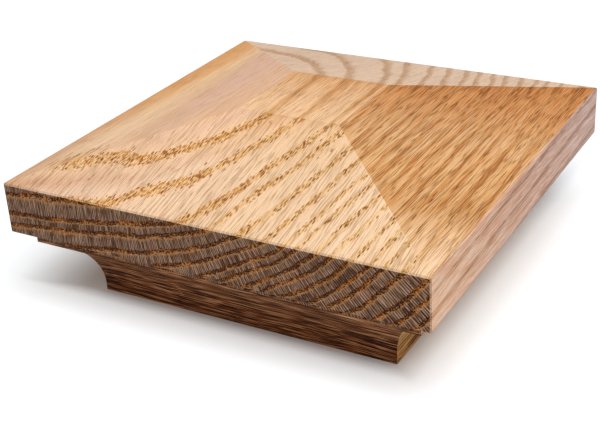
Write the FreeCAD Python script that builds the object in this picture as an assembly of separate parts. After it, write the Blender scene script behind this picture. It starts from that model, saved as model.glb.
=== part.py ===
import FreeCAD, Part
import math
import os

# Newel post cap in red oak: a square slab with a low, flat-topped pyramid worked on it and a rebate run round
# below, glued on a collar of four mitred cove mouldings that drops over the head of the post.
# Millimetres, +Z up. The origin is on the collar's foot, on the cap's vertical axis. The front is -Y.

# The post that the cap is made for, and the room left on each side of it
post_width = 90.0
post_clearance = 1.0

# The moulding's section, from the foot up: a thin straight foot, the cove, and a narrow square edge under the slab
foot_wall = 5.3
foot_height = 2.8
cove_projection = 13.5
cove_height = 18.3
square_height = 0.8

# The slab: the lip that its rebate leaves below and how far the slab stands out past it, its straight edge,
# the pyramid above and the flat on top
lip_height = 4.1
slab_overhang = 5.2
edge_thickness = 16.5
pyramid_rise = 12.5
flat_width = 35.0
arris_width = 0.4

# Half widths across the cap, from the post outwards
socket_half = post_width / 2 + post_clearance
foot_half = socket_half + foot_wall
lip_half = foot_half + cove_projection
slab_half = lip_half + slab_overhang

# Heights above the foot
cove_top = foot_height + cove_height
slab_bottom = cove_top + square_height
edge_bottom = slab_bottom + lip_height
shoulder = edge_bottom + edge_thickness
top = shoulder + pyramid_rise


def bevelled_board():
    # The board with two opposite bevels run along Y, and its long arrises taken off.
    bevel_slope = pyramid_rise / (slab_half - flat_width / 2)
    right_side = [
        (slab_half - arris_width, edge_bottom),
        (slab_half, edge_bottom + arris_width),
        (slab_half, shoulder - arris_width),
        (slab_half - arris_width, shoulder + arris_width * bevel_slope),
        (flat_width / 2, top),
    ]
    left_side = [(-x, z) for x, z in reversed(right_side)]
    outline = right_side + left_side + right_side[:1]
    end_face = Part.Face(Part.makePolygon([FreeCAD.Vector(x, -slab_half, z) for x, z in outline]))
    return end_face.extrude(FreeCAD.Vector(0, 2 * slab_half, 0))


def slab():
    # The second pair of bevels crosses the first, and they meet in the hips of the pyramid.
    # The hips and the edges of the flat stay as the saw leaves them, and so does the lip below.
    crossing = bevelled_board()
    crossing.rotate(FreeCAD.Vector(0, 0, 0), FreeCAD.Vector(0, 0, 1), 90)
    block = Part.makeBox(
        2 * slab_half, 2 * slab_half, top - edge_bottom, FreeCAD.Vector(-slab_half, -slab_half, edge_bottom)
    )
    uprights = [edge for edge in block.Edges if edge.BoundBox.ZLength > edge_thickness]
    block = block.makeChamfer(arris_width, uprights)
    pyramid = block.common(bevelled_board()).common(crossing)
    lip = Part.makeBox(2 * lip_half, 2 * lip_half, lip_height, FreeCAD.Vector(-lip_half, -lip_half, slab_bottom))
    return pyramid.fuse(lip).removeSplitter().Solids[0]


def moulding_section():
    # The cove is one arc that leaves the foot upright and ends at the square edge, which is flush with the lip.
    cove_radius = (cove_projection**2 + cove_height**2) / (2 * cove_projection)
    end_angle = math.atan2(cove_height, cove_projection - cove_radius)
    middle_angle = (math.pi + end_angle) / 2

    def point(out, z):
        return FreeCAD.Vector(0, -out, z)

    middle = point(
        foot_half + cove_radius + cove_radius * math.cos(middle_angle),
        foot_height + cove_radius * math.sin(middle_angle),
    )
    foot_top = point(foot_half, foot_height)
    cove_corner = point(lip_half, cove_top)
    cove = Part.Arc(foot_top, middle, cove_corner).toShape()
    square_and_back = Part.makePolygon(
        [
            cove_corner,
            point(lip_half, slab_bottom),
            point(socket_half, slab_bottom),
            point(socket_half, 0),
            point(foot_half, 0),
            foot_top,
        ]
    )
    return Part.Face(Part.Wire([cove] + square_and_back.Edges))


def moulding():
    # One length for the front, run across the whole lip and then mitred at both ends on the cap's diagonals.
    length = moulding_section()
    length.translate(FreeCAD.Vector(-lip_half, 0, 0))
    length = length.extrude(FreeCAD.Vector(2 * lip_half, 0, 0))
    saw = Part.makePolygon(
        [
            FreeCAD.Vector(0, 0, 0),
            FreeCAD.Vector(-slab_half, -slab_half, 0),
            FreeCAD.Vector(slab_half, -slab_half, 0),
            FreeCAD.Vector(0, 0, 0),
        ]
    )
    between_mitres = Part.Face(saw).extrude(FreeCAD.Vector(0, 0, slab_bottom))
    return length.common(between_mitres).Solids[0]


os.makedirs("parts", exist_ok=True)
slab().exportStep("parts/cap_slab.step")

# The same length goes round the four sides, a quarter turn at a time.
for turn, side in enumerate(["front", "right", "back", "left"]):
    length = moulding()
    length.rotate(FreeCAD.Vector(0, 0, 0), FreeCAD.Vector(0, 0, 1), 90 * turn)
    length.exportStep("parts/cove_" + side + ".step")
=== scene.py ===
"""A newel post cap of bare oak: a bevelled slab with end grain to the front, on a collar of mitred coves."""

import math
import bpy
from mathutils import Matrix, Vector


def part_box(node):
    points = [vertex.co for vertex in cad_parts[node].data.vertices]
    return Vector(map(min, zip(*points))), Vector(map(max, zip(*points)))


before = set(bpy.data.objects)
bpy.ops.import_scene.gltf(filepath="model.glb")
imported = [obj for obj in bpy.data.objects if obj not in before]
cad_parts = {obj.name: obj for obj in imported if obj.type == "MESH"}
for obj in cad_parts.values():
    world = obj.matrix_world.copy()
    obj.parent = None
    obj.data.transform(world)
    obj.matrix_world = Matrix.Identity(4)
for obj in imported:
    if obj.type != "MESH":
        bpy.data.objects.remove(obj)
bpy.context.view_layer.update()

from types import SimpleNamespace

import bpy
from mathutils import Matrix, Vector

# Slab
# The top of the cap is one board of red oak, sawn from beside the heart, with its grain running front to
# back. It is bevelled on a saw to a low pyramid with a flat on top, rebated round its lower edge to leave a
# lip, then sanded and left bare.


def linear(hex_colour):
    """The linear colour that a shader socket takes, from an sRGB hex value."""
    shares = [int(hex_colour[i:i + 2], 16) / 255 for i in (1, 3, 5)]
    return [s / 12.92 if s <= 0.04045 else ((s + 0.055) / 1.055) ** 2.4 for s in shares] + [1.0]


def node(tree, kind, inputs=None, stops=None, **settings):
    """Adds a shader node. Inputs go by socket name or number, and each is a value, a hex colour, a socket, or
    a node, which stands for its first output. Stops are a ramp's positions and hex colours."""
    made = tree.nodes.new("ShaderNode" + kind)
    for name, value in settings.items():
        setattr(made, name, value)
    for key, value in (inputs or {}).items():
        if isinstance(value, bpy.types.Node):
            value = value.outputs[0]
        if isinstance(value, bpy.types.NodeSocket):
            tree.links.new(value, made.inputs[key])
        else:
            made.inputs[key].default_value = linear(value) if isinstance(value, str) else value
    if stops:
        elements = made.color_ramp.elements
        elements.remove(elements[1])
        elements[0].position = stops[0][0]
        elements[0].color = linear(stops[0][1])
        for position, hex_colour in stops[1:]:
            elements.new(position).color = linear(hex_colour)
    return made


def bare_material(name):
    """A new material with nothing in its node tree."""
    made = bpy.data.materials.new(name)
    made.use_nodes = True
    made.node_tree.nodes.clear()
    return made


def dress(name, material):
    """Gives a CAD node its material."""
    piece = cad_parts[name]
    piece.data.materials.clear()
    piece.data.materials.append(material)


# The slab's sizes in millimetres: the rise of its pyramid, half the flat's width, half its own width and the
# height of its shoulder.
mm_per_metre = 1000.0
pyramid_rise = 12.5
flat_half = 17.5
slab_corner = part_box("cap_slab")[1] * mm_per_metre
slab_half = slab_corner.x
shoulder = slab_corner.z - pyramid_rise

# Where the board lay in the log, in millimetres: the heart is above its left half, and the years grow
# downwards and to the right. Left of the heart they are drawn nearly flat, and the grain drifts a little
# sideways from front to back. Their widths are those on the front end. Early wood is about as wide in all of
# them, and counts as the first third of a year.
heart_x = -31.0
heart_above_shoulder = 85.0
heart_z = shoulder + heart_above_shoulder
heart_flat = 10.0
year_tilt = 0.103
grain_drift = 0.03
first_year = 60.4
year_widths = (
    5.0, 5.0, 5.0, 5.0, 6.5, 3.4, 5.1, 4.2, 4.1, 2.9, 3.7, 3.0, 4.0, 4.0, 3.3, 4.3, 5.4, 4.0, 4.3, 5.0, 5.0,
)
early_width = 1.35
early_share = 0.34


def log_place(tree, turn, shift):
    """Places in the log in millimetres, with the grain along Y, and the way that the surface faces there.
    Turn brings the piece's grain onto Y, and shift says where the piece lay. A pattern on the drawn out
    places comes out long in the grain."""
    drawn_share = 0.12
    surface = node(tree, "TexCoord")
    turned = (0.0, 0.0, math.radians(turn))
    place = node(tree, "Mapping", {"Vector": surface.outputs["Object"], "Location": shift, "Rotation": turned,
                                   "Scale": (mm_per_metre, mm_per_metre, mm_per_metre)})
    facing = node(tree, "Mapping", {"Vector": surface.outputs["Normal"], "Rotation": turned},
                  vector_type="VECTOR")
    drawn_out = node(tree, "VectorMath", {0: place, 1: (1.0, drawn_share, 1.0)}, operation="MULTIPLY")
    parts = node(tree, "SeparateXYZ", {0: place})
    return SimpleNamespace(place=place, drawn_out=drawn_out, facing=facing, across=parts.outputs["X"],
                           along=parts.outputs["Y"], up=parts.outputs["Z"])


def oak_years(tree, log, year_scale):
    """The distance from the heart, the year with the part of it that has gone, and a soft band over each
    year's early wood. The trunk's own unevenness bends the years a millimetre or so."""
    bend_size = 16.0
    bend_reach = 3.6
    wander = node(tree, "TexNoise", {"Vector": log.drawn_out, "Scale": 1 / bend_size, "Detail": 3.0,
                                     "Roughness": 0.55})
    centred = node(tree, "VectorMath", {0: wander.outputs["Color"], 1: (0.5, 0.5, 0.5)}, operation="SUBTRACT")
    bend = node(tree, "VectorMath", {0: centred, "Scale": bend_reach}, operation="SCALE")
    bent = node(tree, "VectorMath", {0: log.place, 1: bend}, operation="ADD")
    grown = node(tree, "SeparateXYZ", {0: bent})
    across = node(tree, "Math", {0: log.along, 1: grain_drift, 2: grown.outputs["X"]},
                  operation="MULTIPLY_ADD")
    from_heart = node(tree, "Math", {0: across, 1: heart_x}, operation="SUBTRACT")
    sideways = node(tree, "Math", {0: from_heart, 1: 0.0, 2: heart_flat}, operation="SMOOTH_MAX")
    depth = node(tree, "Math", {0: heart_z, 1: grown.outputs["Z"]}, operation="SUBTRACT")
    downwards = node(tree, "Math", {0: across, 1: year_tilt, 2: depth}, operation="MULTIPLY_ADD")
    spoke = node(tree, "CombineXYZ", {0: sideways, 1: downwards})
    radius = node(tree, "VectorMath", {0: spoke}, operation="LENGTH").outputs["Value"]

    growth = sum(year_widths)
    grown_share = node(tree, "MapRange", {"Value": radius, "From Min": first_year,
                                          "From Max": first_year + growth * year_scale})
    calendar = node(tree, "FloatCurve", {"Value": grown_share})
    points = calendar.mapping.curves[0].points
    reached = 0.0
    for count, width in enumerate(year_widths):
        points.new((reached + early_width) / growth, (count + early_share) / len(year_widths))
        reached += width
        if reached < growth:
            points.new(reached / growth, (count + 1) / len(year_widths))
    for point in points:
        point.handle_type = "VECTOR"
    calendar.mapping.update()
    year = node(tree, "Math", {0: calendar, 1: float(len(year_widths))}, operation="MULTIPLY")

    head_start = 0.1
    ahead = node(tree, "Math", {0: year, 1: head_start}, operation="ADD")
    swell = node(tree, "Math", {0: ahead}, operation="FRACT")
    rise = node(tree, "MapRange", {"Value": swell, "From Min": 0.0, "From Max": 0.14},
                interpolation_type="SMOOTHSTEP")
    fall = node(tree, "MapRange", {"Value": swell, "From Min": 0.2, "From Max": 0.55, "To Min": 1.0,
                                   "To Max": 0.0}, interpolation_type="SMOOTHSTEP")
    band = node(tree, "Math", {0: rise, 1: fall}, operation="MULTIPLY")
    return SimpleNamespace(radius=radius, year=year, band=band)


def oak_pores(tree, log, year, spacing, length):
    """Pores are long tubes: cells drawn out along the grain, many in early wood and hardly any in late wood.
    Each cell is a little early or late, which makes the years' edges ragged. The slab's real pores are about
    0.3 mm across, and are drawn about twice as coarse to show."""
    raggedness = 0.09
    crowd_size = 7.0
    stray_share = 0.004
    tubes = node(tree, "VectorMath", {0: log.place, 1: (1.0, spacing / length, 1.0)}, operation="MULTIPLY")
    cells = node(tree, "TexVoronoi", {"Vector": tubes, "Scale": 1 / spacing, "Randomness": 1.0})
    from_middle = cells.outputs["Distance"]
    chance = node(tree, "SeparateColor", {0: cells.outputs["Color"]})
    ragged = node(tree, "Math", {0: chance.outputs[2], 1: raggedness, 2: year}, operation="MULTIPLY_ADD")
    season = node(tree, "Math", {0: ragged}, operation="FRACT")
    early = node(tree, "MapRange", {"Value": season, "From Min": early_share * 0.7,
                                    "From Max": early_share * 1.25, "To Min": 1.0, "To Max": 0.0},
                 interpolation_type="SMOOTHSTEP")
    patches = node(tree, "TexNoise", {"Vector": log.drawn_out, "Scale": 1 / crowd_size, "Detail": 1.0})
    dense = node(tree, "MapRange", {"Value": patches, "From Min": 0.38, "From Max": 0.58, "To Min": 0.4,
                                    "To Max": 1.0})
    crowd = node(tree, "Math", {0: early, 1: dense, 2: stray_share}, operation="MULTIPLY_ADD")
    hollow = node(tree, "MapRange", {"Value": from_middle, "From Min": 0.25, "From Max": 0.55,
                                     "To Min": 1.0, "To Max": 0.0}, interpolation_type="SMOOTHSTEP")
    sunk = node(tree, "Math", {0: hollow, 1: early}, operation="MULTIPLY")
    return SimpleNamespace(draw=chance.outputs[0], shade=chance.outputs[1], season=season, early=early,
                           crowd=crowd, from_middle=from_middle, sunk=sunk)


def oak_fibres(tree, log, width, length):
    """Fibres run along the grain in shallow waves."""
    wave_size = 11.0
    wave_reach = 1.1
    drawn_share = 0.6
    wave_place = node(tree, "VectorMath", {0: log.place, 1: (1.0, drawn_share, 1.0)}, operation="MULTIPLY")
    waves = node(tree, "TexNoise", {"Vector": wave_place, "Scale": 1 / wave_size, "Detail": 1.0})
    swing = node(tree, "VectorMath", {0: waves.outputs["Color"], 1: (0.5, 0.5, 0.5)}, operation="SUBTRACT")
    wavy = node(tree, "VectorMath", {0: swing, 1: (wave_reach, 0.0, wave_reach), 2: log.place},
                operation="MULTIPLY_ADD")
    fibre_place = node(tree, "VectorMath", {0: wavy, 1: (1.0, width / length, 1.0)}, operation="MULTIPLY")
    return node(tree, "TexNoise", {"Vector": fibre_place, "Scale": 1 / width, "Detail": 2.0,
                                   "Roughness": 0.7})


def oak_skin(tree, colour, fibres, pores):
    """Bare sanded wood: matt, with the pores sunk a little and the fibres just felt. Its open pores swallow
    most of the gloss that a closed skin would have."""
    relief = 0.1
    rough = node(tree, "MapRange", {"Value": fibres, "To Min": 0.55, "To Max": 0.80})
    height = node(tree, "Math", {0: fibres, 1: pores.sunk}, operation="SUBTRACT")
    bump = node(tree, "Bump", {"Height": height, "Strength": 0.15, "Distance": relief / mm_per_metre})
    skin = node(tree, "BsdfPrincipled", {"Base Color": colour, "Roughness": rough, "IOR": 1.5,
                                         "Specular IOR Level": 0.1, "Normal": bump})
    node(tree, "OutputMaterial", {"Surface": skin})


# Sanded red oak. It changes colour with the way it is cut: golden on the flat, cream where the front bevel
# rakes across the grain, deeper along the right bevel, pink on the sides and dark grey-brown on the ends.
slab_oak = bare_material("red_oak_sanded_slab")
tree = slab_oak.node_tree
log = log_place(tree, turn=0.0, shift=(0.0, 0.0, 0.0))
years = oak_years(tree, log, year_scale=1.0)
pores = oak_pores(tree, log, years.year, spacing=0.45, length=7.5)
fibres = oak_fibres(tree, log, width=0.36, length=13.0)

# Rays run out from the heart across each year, as fine light and dark ticks on the ends, and here and there
# the wood has opened along them. They are about 0.3 mm apart, and are drawn about twice as coarse to show.
ray_spacing = 0.61
ray_length = 9.0
ray_unevenness = 6.0
middle_radius = 100.0
beside = node(tree, "Math", {0: log.across, 1: heart_x}, operation="SUBTRACT")
below = node(tree, "Math", {0: heart_z, 1: log.up}, operation="SUBTRACT")
right_of_heart = node(tree, "Math", {0: beside, 1: 0.0}, operation="MAXIMUM")
left_of_heart = node(tree, "Math", {0: beside, 1: 0.0}, operation="MINIMUM")
angle = node(tree, "Math", {0: right_of_heart, 1: below}, operation="ARCTAN2")
round_year = node(tree, "Math", {0: angle, 1: middle_radius, 2: left_of_heart}, operation="MULTIPLY_ADD")
ray_number = node(tree, "Math", {0: round_year, 1: ray_spacing}, operation="DIVIDE")
ray_reach = node(tree, "Math", {0: years.radius, 1: ray_length}, operation="DIVIDE")
ray_place = node(tree, "CombineXYZ", {0: ray_number, 1: ray_reach})
unevenness = node(tree, "TexNoise", {"Vector": ray_place, "Scale": 1.0, "Detail": 1.0})
even_phase = node(tree, "Math", {0: round_year, 1: math.tau / ray_spacing}, operation="MULTIPLY")
ray_phase = node(tree, "Math", {0: unevenness, 1: ray_unevenness, 2: even_phase}, operation="MULTIPLY_ADD")
ray_wave = node(tree, "Math", {0: ray_phase}, operation="SINE")
ray_strength = node(tree, "MapRange", {"Value": unevenness.outputs["Color"], "From Min": 0.3, "From Max": 0.7,
                                       "To Min": 0.35, "To Max": 0.95})
ray_grain = node(tree, "TexNoise", {"Vector": ray_place, "Scale": 1.8, "Detail": 2.0, "Roughness": 0.75})
ray_shade = node(tree, "MapRange", {"Value": ray_grain, "From Min": 0.25, "From Max": 0.75,
                                    "To Min": -1.15, "To Max": 1.15})
fine_rays = node(tree, "Math", {0: ray_wave, 1: ray_strength, 2: ray_shade}, operation="MULTIPLY_ADD")
checks = node(tree, "TexNoise", {"Vector": ray_place, "Scale": 0.3, "Detail": 0.0})
to_check = node(tree, "Math", {0: checks, 1: 0.5}, operation="SUBTRACT")
off_check = node(tree, "Math", {0: to_check}, operation="ABSOLUTE")
opened = node(tree, "MapRange", {"Value": off_check, "From Min": 0.0, "From Max": 0.05,
                                 "To Min": -0.7, "To Max": 0.0})
rays = node(tree, "Math", {0: fine_rays, 1: opened}, operation="ADD")

# Sanding along the grain leaves thin dark lines, about 0.2 mm wide and half a millimetre apart.
line_spacing = 0.55
line_drawn_share = 0.03
line_upright_share = 0.10
line_place = node(tree, "VectorMath", {0: log.place, 1: (1.0, line_drawn_share, line_upright_share)},
                  operation="MULTIPLY")
sanding = node(tree, "TexNoise", {"Vector": line_place, "Scale": 1 / line_spacing, "Detail": 1.0})
to_line = node(tree, "Math", {0: sanding, 1: 0.5}, operation="SUBTRACT")
off_line = node(tree, "Math", {0: to_line}, operation="ABSOLUTE")
lines = node(tree, "MapRange", {"Value": off_line, "From Min": 0.0, "From Max": 0.07,
                                "To Min": 1.0, "To Max": 0.0})
worn = node(tree, "MapRange", {"Value": lines, "To Min": 0.07, "To Max": -0.34})

# The flat is cream towards the front and deeper towards the back.
flat_share = node(tree, "MapRange", {"Value": log.along, "From Min": -flat_half, "From Max": flat_half})
flat_late = node(tree, "ValToRGB", {"Fac": flat_share}, stops=(
    (0.0, "#f4c99c"), (0.5, "#eabc8f"), (1.0, "#dea976")))
flat_early = node(tree, "ValToRGB", {"Fac": flat_share}, stops=(
    (0.0, "#e2ae78"), (0.5, "#d39b66"), (1.0, "#c88c54")))

# The left bevel lies along the years, so they show on it as broad pink and tan patches.
left_first_year = 71.6
left_last_year = 79.6
left_share = node(tree, "MapRange", {"Value": years.radius, "From Min": left_first_year,
                                     "From Max": left_last_year})
near_patches = node(tree, "ValToRGB", {"Fac": left_share}, stops=(
    (0.0, "#ecbe94"), (0.2, "#ebc19e"), (0.38, "#eec29b"), (0.52, "#f8d4b0"), (0.66, "#ecc39c"),
    (0.84, "#d8a682"), (1.0, "#efcaac")))
far_patches = node(tree, "ValToRGB", {"Fac": left_share}, stops=(
    (0.0, "#ebbe9c"), (0.2, "#ebbfa5"), (0.38, "#e7bb9a"), (0.52, "#f3c99b"), (0.66, "#eab178"),
    (0.9, "#e1a56a")))
to_the_back = node(tree, "MapRange", {"Value": log.along, "From Min": -45.0, "From Max": 10.0})
left_patches = node(tree, "MixRGB", {"Fac": to_the_back, "Color1": near_patches, "Color2": far_patches})

# The front bevel is cream, with gold early wood. The left bevel's patches run a little way over the hip that
# they share, and low down the front bevel's gold runs over it to the left.
front_share = node(tree, "MapRange", {"Value": log.across, "From Min": -slab_half, "From Max": slab_half})
front_cream = node(tree, "ValToRGB", {"Fac": front_share}, stops=(
    (0.0, "#e6be9f"), (0.2, "#e8c2a2"), (0.38, "#eec9a5"), (0.6, "#eec8a1"), (0.8, "#f0cba6"),
    (1.0, "#efc79d")))
front_gold = node(tree, "ValToRGB", {"Fac": front_share}, stops=(
    (0.2, "#edbf8a"), (0.45, "#ecbd84"), (0.7, "#ebbf8b"), (1.0, "#e8be8e")))
up_bevel = node(tree, "MapRange", {"Value": log.along, "From Min": -45.0, "From Max": -20.0,
                                   "To Min": 0.0, "To Max": 0.5})
front_wood = node(tree, "MixRGB", {"Fac": up_bevel, "Color1": front_cream, "Color2": front_gold})
from_left_hip = node(tree, "Math", {0: log.across, 1: log.along}, operation="SUBTRACT")
over_hip = node(tree, "MapRange", {"Value": from_left_hip, "From Min": 0.0, "From Max": 45.0,
                                   "To Min": 1.0, "To Max": 0.0})
front_late = node(tree, "MixRGB", {"Fac": over_hip, "Color1": front_wood, "Color2": left_patches})
beside_hip = node(tree, "MapRange", {"Value": from_left_hip, "From Min": -16.0, "From Max": 0.0})
low_down = node(tree, "MapRange", {"Value": log.along, "From Min": -48.0, "From Max": -36.0,
                                   "To Min": 1.0, "To Max": 0.0})
low_by_hip = node(tree, "Math", {0: beside_hip, 1: low_down}, operation="MULTIPLY")
left_early = node(tree, "MixRGB", {"Fac": low_by_hip, "Color1": left_patches, "Color2": front_gold})

# Pores cut at a slant are orange-brown dashes on these two bevels: more of them to the left and up the front
# bevel, and none beside the hip but low down.
left_dashes = node(tree, "ValToRGB", {"Fac": pores.shade}, stops=(
    (0.0, "#783200"), (0.4, "#985004"), (0.75, "#b87018"), (1.0, "#d0923c")))
right_dashes = node(tree, "ValToRGB", {"Fac": pores.shade}, stops=(
    (0.0, "#6c3a04"), (0.3, "#986214"), (0.6, "#bc8838"), (1.0, "#dcae6c")))
to_the_right = node(tree, "MapRange", {"Value": front_share, "From Min": 0.4, "From Max": 0.9})
front_dashes = node(tree, "MixRGB", {"Fac": to_the_right, "Color1": left_dashes, "Color2": right_dashes})
crowd_across = node(tree, "MapRange", {"Value": front_share, "From Min": 0.25, "From Max": 0.65,
                                       "To Min": 2.4, "To Max": 1.25})
crowd_up = node(tree, "MapRange", {"Value": log.along, "From Min": -slab_half, "From Max": -20.0,
                                   "To Min": 0.5, "To Max": 1.9})
crowd_on_bevel = node(tree, "Math", {0: crowd_across, 1: crowd_up}, operation="MULTIPLY")
off_hip = node(tree, "MapRange", {"Value": from_left_hip, "From Min": 5.0, "From Max": 14.0})
crowd_by_hip = node(tree, "Math", {0: off_hip, 1: low_down}, operation="MAXIMUM")
front_crowd = node(tree, "Math", {0: crowd_on_bevel, 1: crowd_by_hip}, operation="MULTIPLY")
left_crowd = node(tree, "MapRange", {"Value": low_by_hip, "To Min": 0.0, "To Max": 2.0})
front_lines = node(tree, "MapRange", {"Value": from_left_hip, "From Min": 4.0, "From Max": 50.0,
                                      "To Min": 0.8, "To Max": 1.0})

# The right bevel follows the grain and is the deepest in colour, but pale where it meets the front corner.
corner_slant = -0.6
to_corner = node(tree, "Math", {0: log.across, 1: corner_slant, 2: log.along}, operation="MULTIPLY_ADD")
right_share = node(tree, "MapRange", {"Value": to_corner, "From Min": -110.0, "From Max": 30.0})
right_late = node(tree, "ValToRGB", {"Fac": right_share}, stops=(
    (0.05, "#efc69d"), (0.15, "#e6b889"), (0.25, "#ce9862"), (0.4, "#dea972"), (0.6, "#d8a572"),
    (0.8, "#cb8b54"), (1.0, "#be7b44")))
right_early = node(tree, "ValToRGB", {"Fac": right_share}, stops=(
    (0.05, "#e0b27e"), (0.3, "#c4874e"), (0.7, "#c68c56"), (1.0, "#a66a34")))

# The back bevel is a greyer cream, with tan early wood. Its pale grey cast is partly painted sheen.
back_late_and_sheen = "#e7c7ab"
back_early_and_sheen = "#cea582"

# The sides are pink, with the years as long bands. Towards the back they turn greyer and darker, which is
# painted shade.
side_share = node(tree, "MapRange", {"Value": log.along, "From Min": -slab_half, "From Max": slab_half})
side_late_and_shade = node(tree, "ValToRGB", {"Fac": side_share}, stops=(
    (0.0, "#eac0a0"), (0.4, "#d8ad93"), (1.0, "#d3b3a6")))
side_early_and_shade = node(tree, "ValToRGB", {"Fac": side_share}, stops=(
    (0.0, "#d3a07c"), (0.4, "#b78a70"), (1.0, "#b89688")))

# On the ends early wood is dark pores among orange specks with a pale rim, and late wood is grey-brown with
# the rays across it.
end_band = node(tree, "MapRange", {"Value": pores.season, "From Min": 0.34, "From Max": 0.52,
                                   "To Min": 1.0, "To Max": 0.0}, interpolation_type="SMOOTHSTEP")
pore_fleck = 0.5
ray_fleck = 0.16
flecked = node(tree, "Math", {0: pores.shade, 1: pore_fleck, 2: pores.season}, operation="MULTIPLY_ADD")
speck = node(tree, "Math", {0: rays, 1: ray_fleck, 2: flecked}, operation="MULTIPLY_ADD")
end_specks = node(tree, "ValToRGB", {"Fac": speck}, stops=(
    (0.0, "#481400"), (0.3, "#8a480e"), (0.6, "#b67c44"), (0.9, "#ae8a68")))
tick = node(tree, "MapRange", {"Value": rays, "From Min": -1.1, "From Max": 1.1})
end_ticks = node(tree, "ValToRGB", {"Fac": tick}, stops=(
    (0.0, "#2a160c"), (0.5, "#6f4e39"), (1.0, "#bc9b82")))

# Each cut covers the ones before it where the surface faces its way. Turned says how squarely it has to face
# there, as cosines, for the cut to start and to cover fully. The flat comes first, under all the others.
sloped = (0.12, 0.20)
squared = (0.50, 0.80)
upright = (0.58, 0.78)
slab_cuts = [
    SimpleNamespace(band=years.band, early=flat_early, late=flat_late, pore="#945a28", pore_share=0.5,
                    pore_size=0.35, fibred=0.5, lined=0.85),
    SimpleNamespace(facing=(0, -1, 0), turned=sloped, band=years.band, early=front_gold, late=front_late,
                    pore=front_dashes, pore_share=front_crowd, pore_size=0.66, fibred=0.2, lined=front_lines),
    SimpleNamespace(facing=(0, 1, 0), turned=sloped, band=years.band, early=back_early_and_sheen, late=back_late_and_sheen,
                    pore="#a87850", pore_share=0.6, pore_size=0.5, fibred=0.1, lined=0.5),
    SimpleNamespace(facing=(1, 0, 0), turned=sloped, band=years.band, early=right_early, late=right_late,
                    pore="#6e3e12", pore_share=0.4, pore_size=0.32, fibred=0.6, lined=1.2),
    SimpleNamespace(facing=(-1, 0, 0), turned=sloped, band=years.band, early=left_early, late=left_patches,
                    pore=left_dashes, pore_share=left_crowd, pore_size=0.6, fibred=0.25, lined=0.5),
]
for side_facing in ((1, 0, 0), (-1, 0, 0)):
    slab_cuts.append(SimpleNamespace(
        facing=side_facing, turned=squared, band=years.band, early=side_early_and_shade, late=side_late_and_shade,
        pore="#765648", pore_share=0.6, pore_size=0.35, fibred=1.5, lined=0.0))
for end_facing in ((0, -0.98, -0.2), (0, 0.98, -0.2)):
    slab_cuts.append(SimpleNamespace(
        facing=end_facing, turned=upright, band=end_band, early=end_specks, late=end_ticks,
        pore="#100200", pore_share=1.15, pore_size=0.84, fibred=0.0, lined=0.0))

# On each cut the fibres make dark and pale streaks, the sanding lines deepen the colour, and a pore fades out
# at its rim.
fibre_dark = 0.28
fibre_pale = 0.22
line_depth = -0.7
pore_rim = 0.45
tone = None
for cut in slab_cuts:
    wood = node(tree, "MixRGB", {"Fac": cut.band, "Color1": cut.late, "Color2": cut.early})
    streak = node(tree, "MapRange", {"Value": fibres, "From Min": 0.40, "From Max": 0.60,
                                     "To Min": 1 + fibre_dark * cut.fibred,
                                     "To Max": 1 - fibre_pale * cut.fibred})
    line = node(tree, "Math", {0: worn, 1: cut.lined}, operation="MULTIPLY")
    depth = node(tree, "Math", {0: line, 1: line_depth, 2: streak}, operation="MULTIPLY_ADD")
    deepened = node(tree, "Gamma", {"Color": wood, "Gamma": depth})
    line_level = node(tree, "Math", {0: line, 1: 1.0}, operation="ADD")
    lined_wood = node(tree, "VectorMath", {0: deepened, "Scale": line_level}, operation="SCALE")
    crowd = node(tree, "Math", {0: pores.crowd, 1: cut.pore_share}, operation="MULTIPLY")
    open_here = node(tree, "Math", {0: pores.draw, 1: crowd}, operation="LESS_THAN")
    inside = node(tree, "MapRange", {"Value": pores.from_middle, "From Min": cut.pore_size * pore_rim,
                                     "From Max": cut.pore_size, "To Min": 1.0, "To Max": 0.0},
                  interpolation_type="SMOOTHSTEP")
    hole = node(tree, "Math", {0: inside, 1: open_here}, operation="MULTIPLY")
    surface = node(tree, "MixRGB", {"Fac": hole, "Color1": lined_wood, "Color2": cut.pore})
    if tone is None:
        tone = surface
    else:
        faced = node(tree, "VectorMath", {0: log.facing, 1: cut.facing}, operation="DOT_PRODUCT")
        here = node(tree, "MapRange", {"Value": faced.outputs["Value"], "From Min": cut.turned[0],
                                       "From Max": cut.turned[1]})
        tone = node(tree, "MixRGB", {"Fac": here, "Color1": tone, "Color2": surface})

# The whole board is a little uneven in tone, in broad blotches and in the tooth that sanding leaves.
blotch_size = 16.0
tooth_size = 0.4
blotches = node(tree, "TexNoise", {"Vector": log.drawn_out, "Scale": 1 / blotch_size, "Detail": 1.0})
blotch_level = node(tree, "MapRange", {"Value": blotches, "From Min": 0.3, "From Max": 0.7,
                                       "To Min": 0.95, "To Max": 1.04})
tooth = node(tree, "TexNoise", {"Vector": log.place, "Scale": 1 / tooth_size, "Detail": 1.0})
tooth_level = node(tree, "MapRange", {"Value": tooth, "From Min": 0.3, "From Max": 0.7,
                                      "To Min": 0.94, "To Max": 1.06})
level = node(tree, "Math", {0: blotch_level, 1: tooth_level}, operation="MULTIPLY")
slab_colour = node(tree, "VectorMath", {0: tone, "Scale": level}, operation="SCALE")
oak_skin(tree, slab_colour, fibres, pores)
dress("cap_slab", slab_oak)
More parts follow.
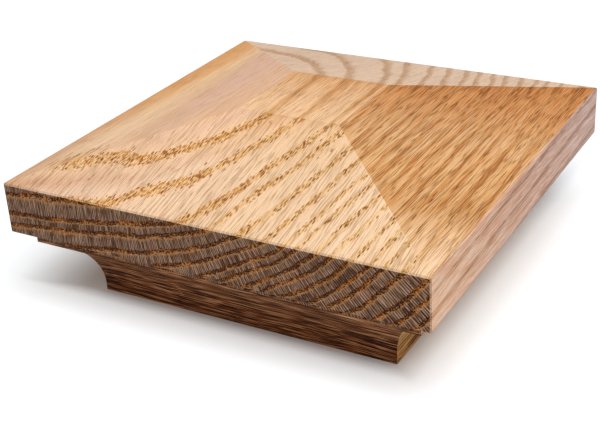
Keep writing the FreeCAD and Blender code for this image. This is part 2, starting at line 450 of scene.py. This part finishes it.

# Collar
# Four lengths of cove moulding, cut from the same oak with the grain along them, mitred at the corners and
# glued under the slab's lip. The cove is cut with a round cutter and sanded, so its fibres and pores show as
# long dark streaks. Its colour is darkened towards the foot and lightened towards the top with painted shade.
cove_top = 22.0
pore_dark = -0.05
coves = (
    # side, turn, place in the log, dark streaks, middle, pale streaks
    ("front", 90.0, (60.0, 0.0, 0.0), "#260b02", "#925832", "#d2a074"),
    ("back", 90.0, (35.0, 40.0, 6.0), "#260b02", "#925832", "#d2a074"),
    ("left", 0.0, (70.0, 15.0, 3.0), "#603a12", "#c88844", "#f2cc90"),
    ("right", 0.0, (20.0, 70.0, 9.0), "#603a12", "#c88844", "#f2cc90"),
)
for side, turn, shift, dark, middle, pale in coves:
    cove_oak = bare_material("red_oak_sanded_cove_" + side)
    tree = cove_oak.node_tree
    log = log_place(tree, turn, shift)
    years = oak_years(tree, log, year_scale=0.5)
    pores = oak_pores(tree, log, years.year, spacing=0.85, length=22.0)
    fibres = oak_fibres(tree, log, width=0.34, length=18.0)
    streak = node(tree, "Math", {0: pores.early, 1: pore_dark, 2: fibres}, operation="MULTIPLY_ADD")
    colour = node(tree, "ValToRGB", {"Fac": streak}, stops=((0.39, dark), (0.485, middle), (0.61, pale)))
    # Painted shade: the colour grows darker towards the foot and lighter towards the top, by height alone.
    painted_shade_by_height = node(tree, "MapRange", {"Value": log.up, "From Min": 0.0, "From Max": cove_top,
                                           "To Min": 1.22, "To Max": 0.84})
    cove_colour = node(tree, "Gamma", {"Color": colour, "Gamma": painted_shade_by_height})
    oak_skin(tree, cove_colour, fibres, pores)
    dress("cove_" + side, cove_oak)

# Floor and light
# The cap stands on a plain table under one large soft lamp, in a white room. The table has matt white paper
# on it, which looks evenly white but for the shade that the cap leaves close round it. Sizes are in metres.


def seen(tree):
    """One for the rays that show a surface to the eye, straight or by gloss or glass. Nought for the rest."""
    ray = node(tree, "LightPath")
    straight = ray.outputs["Is Camera Ray"]
    by_gloss = node(tree, "Math", {0: straight, 1: ray.outputs["Is Glossy Ray"]}, operation="MAXIMUM")
    return node(tree, "Math", {0: by_gloss, 1: ray.outputs["Is Transmission Ray"]}, operation="MAXIMUM")


floor_size = 6.0
bpy.ops.object.select_all(action="DESELECT")
bpy.ops.mesh.primitive_plane_add(size=floor_size)
floor = bpy.context.object
floor.name = "floor"

# The paper glows for the eye, and more so far out, where less of the lamp reaches it.
paper = bare_material("white_paper")
tree = paper.node_tree
on_floor = node(tree, "TexCoord").outputs["Object"]
far_out = node(tree, "VectorMath", {0: on_floor}, operation="LENGTH").outputs["Value"]
glow_out = node(tree, "MapRange", {"Value": far_out, "From Min": 0.25, "From Max": 0.90,
                                   "To Min": 0.38, "To Max": 1.0})
full_glow = node(tree, "Math", {0: seen(tree), 1: glow_out}, operation="MULTIPLY")

# Close round the foot it hardly glows, so that the shade there stays, and under the slab's right edge it
# glows a little less than in the open.
foot_edges = (
    # way out from a side, and how far from the middle its shade starts to lift and ends
    ((0.0, -1.0, 0.0), 0.0522, 0.0580),
    ((1.0, 0.0, 0.0), 0.0516, 0.0600),
    ((0.0, 1.0, 0.0), 0.0600, 0.1200),
    ((-1.0, 0.0, 0.0), 0.0605, 0.0850),
)
past_foot = None
for way_out, lift, end in foot_edges:
    out = node(tree, "VectorMath", {0: on_floor, 1: way_out}, operation="DOT_PRODUCT").outputs["Value"]
    past = node(tree, "MapRange", {"Value": out, "From Min": lift, "From Max": end,
                                   "To Min": 0.05, "To Max": 1.0})
    if past_foot is None:
        past_foot = past
    else:
        past_foot = node(tree, "Math", {0: past_foot, 1: past}, operation="MAXIMUM")
shade_x, shade_y = 0.070, -0.010
reach_x, reach_y = 0.036, 0.100
shade_place = node(tree, "Mapping", {
    "Vector": on_floor, "Location": (-shade_x / reach_x, -shade_y / reach_y, 0.0),
    "Scale": (1 / reach_x, 1 / reach_y, 1.0)})
from_shade = node(tree, "VectorMath", {0: shade_place}, operation="LENGTH").outputs["Value"]
past_shade = node(tree, "MapRange", {"Value": from_shade, "From Min": 0.33, "From Max": 1.0,
                                     "To Min": 0.8, "To Max": 1.0}, interpolation_type="SMOOTHSTEP")
clear = node(tree, "Math", {0: past_foot, 1: past_shade}, operation="MULTIPLY")
glow_level = node(tree, "Math", {0: full_glow, 1: clear}, operation="MULTIPLY")
matte = node(tree, "BsdfDiffuse", {"Color": "#f1f3f6"})
glow = node(tree, "Emission", {"Color": "#f8fdff", "Strength": glow_level})
both = node(tree, "AddShader", {0: matte, 1: glow})
node(tree, "OutputMaterial", {"Surface": both})
floor.data.materials.append(paper)

world = bpy.data.worlds.new("white_room")
bpy.context.scene.world = world
world.use_nodes = True
tree = world.node_tree
tree.nodes.clear()
room_level = node(tree, "MapRange", {"Value": seen(tree), "To Min": 0.3, "To Max": 1.0})
room = node(tree, "Background", {"Color": "#ffffff", "Strength": room_level})
node(tree, "OutputWorld", {"Surface": room})

lamp_place = Vector((0.34, -0.30, 0.88))
lamp = bpy.data.lights.new("lamp_above", "AREA")
lamp.size = 0.85
lamp.energy = 8.6
lamp_holder = bpy.data.objects.new("lamp_above", lamp)
lamp_holder.location = lamp_place
lamp_holder.rotation_euler = lamp_place.to_track_quat("Z", "Y").to_euler()
bpy.context.scene.collection.objects.link(lamp_holder)

# Camera
# It stands to the front right of the cap and looks down on it, with a small roll that tilts the picture. The
# place is in metres, the angles are in degrees, and the lens is in millimetres.
camera_place = Vector((0.17447, -0.30869, 0.19385))
camera_azimuth = 30.59
camera_elevation = 26.78
camera_roll = -3.34
lens = bpy.data.cameras.new("camera")
lens.lens = 72.25
lens.sensor_width = 36.0
camera = bpy.data.objects.new("camera", lens)
camera.location = camera_place
pan = Matrix.Rotation(math.radians(camera_azimuth), 3, "Z")
tilt = Matrix.Rotation(math.radians(90 - camera_elevation), 3, "X")
roll = Matrix.Rotation(math.radians(camera_roll), 3, "Z")
camera.rotation_euler = (pan @ tilt @ roll).to_euler()
bpy.context.scene.collection.objects.link(camera)
bpy.context.scene.camera = camera
bpy.context.scene.view_settings.view_transform = "Standard"
